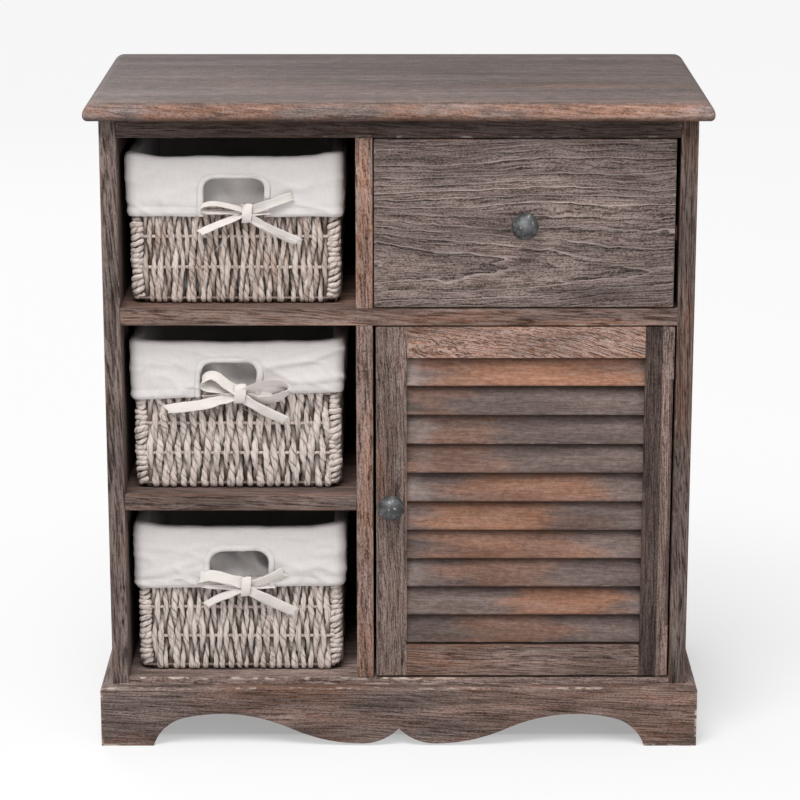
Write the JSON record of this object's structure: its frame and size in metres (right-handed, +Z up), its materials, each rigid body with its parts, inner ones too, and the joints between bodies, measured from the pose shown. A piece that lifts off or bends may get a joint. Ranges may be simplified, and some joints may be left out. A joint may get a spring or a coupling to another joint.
{
  "type": "basket storage cabinet",
  "caption": "Free-standing wooden bathroom cabinet with lined woven baskets in open bays beside a drawer and a louvred door, on a scroll-cut plinth.",
  "frame": {"origin": "middle of the footprint on the floor, at the bottom centre of the whole box", "axes": "+Z up, +X to the right seen from the front, +Y from the front to the back"},
  "size_m": [0.62, 0.346, 0.672],
  "materials": {
    "carcass_wood": "washed and brushed, matt",
    "top_wood": "washed and brushed, matt",
    "plinth_wood": "washed and brushed, matt",
    "door_wood": "washed and brushed, matt",
    "slat_wood": "washed, smooth, matt",
    "drawer_wood": "planed, unfinished",
    "drawer_front_wood": "washed and brushed, matt",
    "back_board": "thin board, matt",
    "knob_pewter": "dark pewter, satin",
    "zinc_steel": "zinc plated",
    "brown_plastic": "moulded, matt",
    "woven_rope": "twisted paper rope, woven",
    "liner_cotton": "washed cotton",
    "tape_cotton": "cotton tape"
  },
  "bodies": {
    "cabinet": {"top_board": "top_wood", "left_side_panel": "carcass_wood", "right_side_panel": "carcass_wood", "bottom_board": "carcass_wood", "mid_shelf": "carcass_wood", "basket_shelf": "carcass_wood", "upper_divider": "carcass_wood", "lower_divider": "carcass_wood", "top_front_rail": "carcass_wood", "top_rear_rail": "carcass_wood", "plinth_front": "plinth_wood", "plinth_left": "plinth_wood", "plinth_right": "plinth_wood", "corner_blocks": "plinth_wood", "back_panel": "back_board", "drawer_runner_left": "drawer_wood", "drawer_runner_right": "drawer_wood", "door_catch": "brown_plastic", "top_fixing_screws": "zinc_steel", "back_panel_screws": "zinc_steel", "door_pivot_bushes": "brown_plastic"},
    "door": {"door_knob_stile": "door_wood", "door_hinge_stile": "door_wood", "door_top_rail": "door_wood", "door_bottom_rail": "door_wood", "louvre_slat_01": "slat_wood", "louvre_slat_02": "slat_wood", "louvre_slat_03": "slat_wood", "louvre_slat_04": "slat_wood", "louvre_slat_05": "slat_wood", "louvre_slat_06": "slat_wood", "louvre_slat_07": "slat_wood", "louvre_slat_08": "slat_wood", "louvre_slat_09": "slat_wood", "louvre_slat_10": "slat_wood", "door_knob": "knob_pewter", "door_knob_screw": "zinc_steel", "door_strike_plate": "zinc_steel", "door_pivot_pins": "zinc_steel"},
    "drawer": {"drawer_front": "drawer_front_wood", "drawer_left_side": "drawer_wood", "drawer_right_side": "drawer_wood", "drawer_back": "drawer_wood", "drawer_bottom": "back_board", "drawer_knob": "knob_pewter", "drawer_knob_screw": "zinc_steel"},
    "basket_1": {"basket_1_weave": "woven_rope", "basket_1_rim": "woven_rope", "basket_1_liner": "liner_cotton", "basket_1_bow": "tape_cotton"},
    "basket_2": {"basket_2_weave": "woven_rope", "basket_2_rim": "woven_rope", "basket_2_liner": "liner_cotton", "basket_2_bow": "tape_cotton"},
    "basket_3": {"basket_3_weave": "woven_rope", "basket_3_rim": "woven_rope", "basket_3_liner": "liner_cotton", "basket_3_bow": "tape_cotton"}
  },
  "joints": [
    {"name": "door_swing", "type": "hinge", "parent": "cabinet", "child": "door", "pos_m": [0.2675, -0.1415, 0], "axis": [0, 0, 1], "range_deg": [0, 110]},
    {"name": "drawer_slide", "type": "slide", "parent": "cabinet", "child": "drawer", "axis": [0, -1, 0], "range_m": [0, 0.2]},
    {"name": "basket_1_slide", "type": "slide", "parent": "cabinet", "child": "basket_1", "axis": [0, -1, 0], "range_m": [0, 0.31]},
    {"name": "basket_2_slide", "type": "slide", "parent": "cabinet", "child": "basket_2", "axis": [0, -1, 0], "range_m": [0, 0.31]},
    {"name": "basket_3_slide", "type": "slide", "parent": "cabinet", "child": "basket_3", "axis": [0, -1, 0], "range_m": [0, 0.31]}
  ]
}
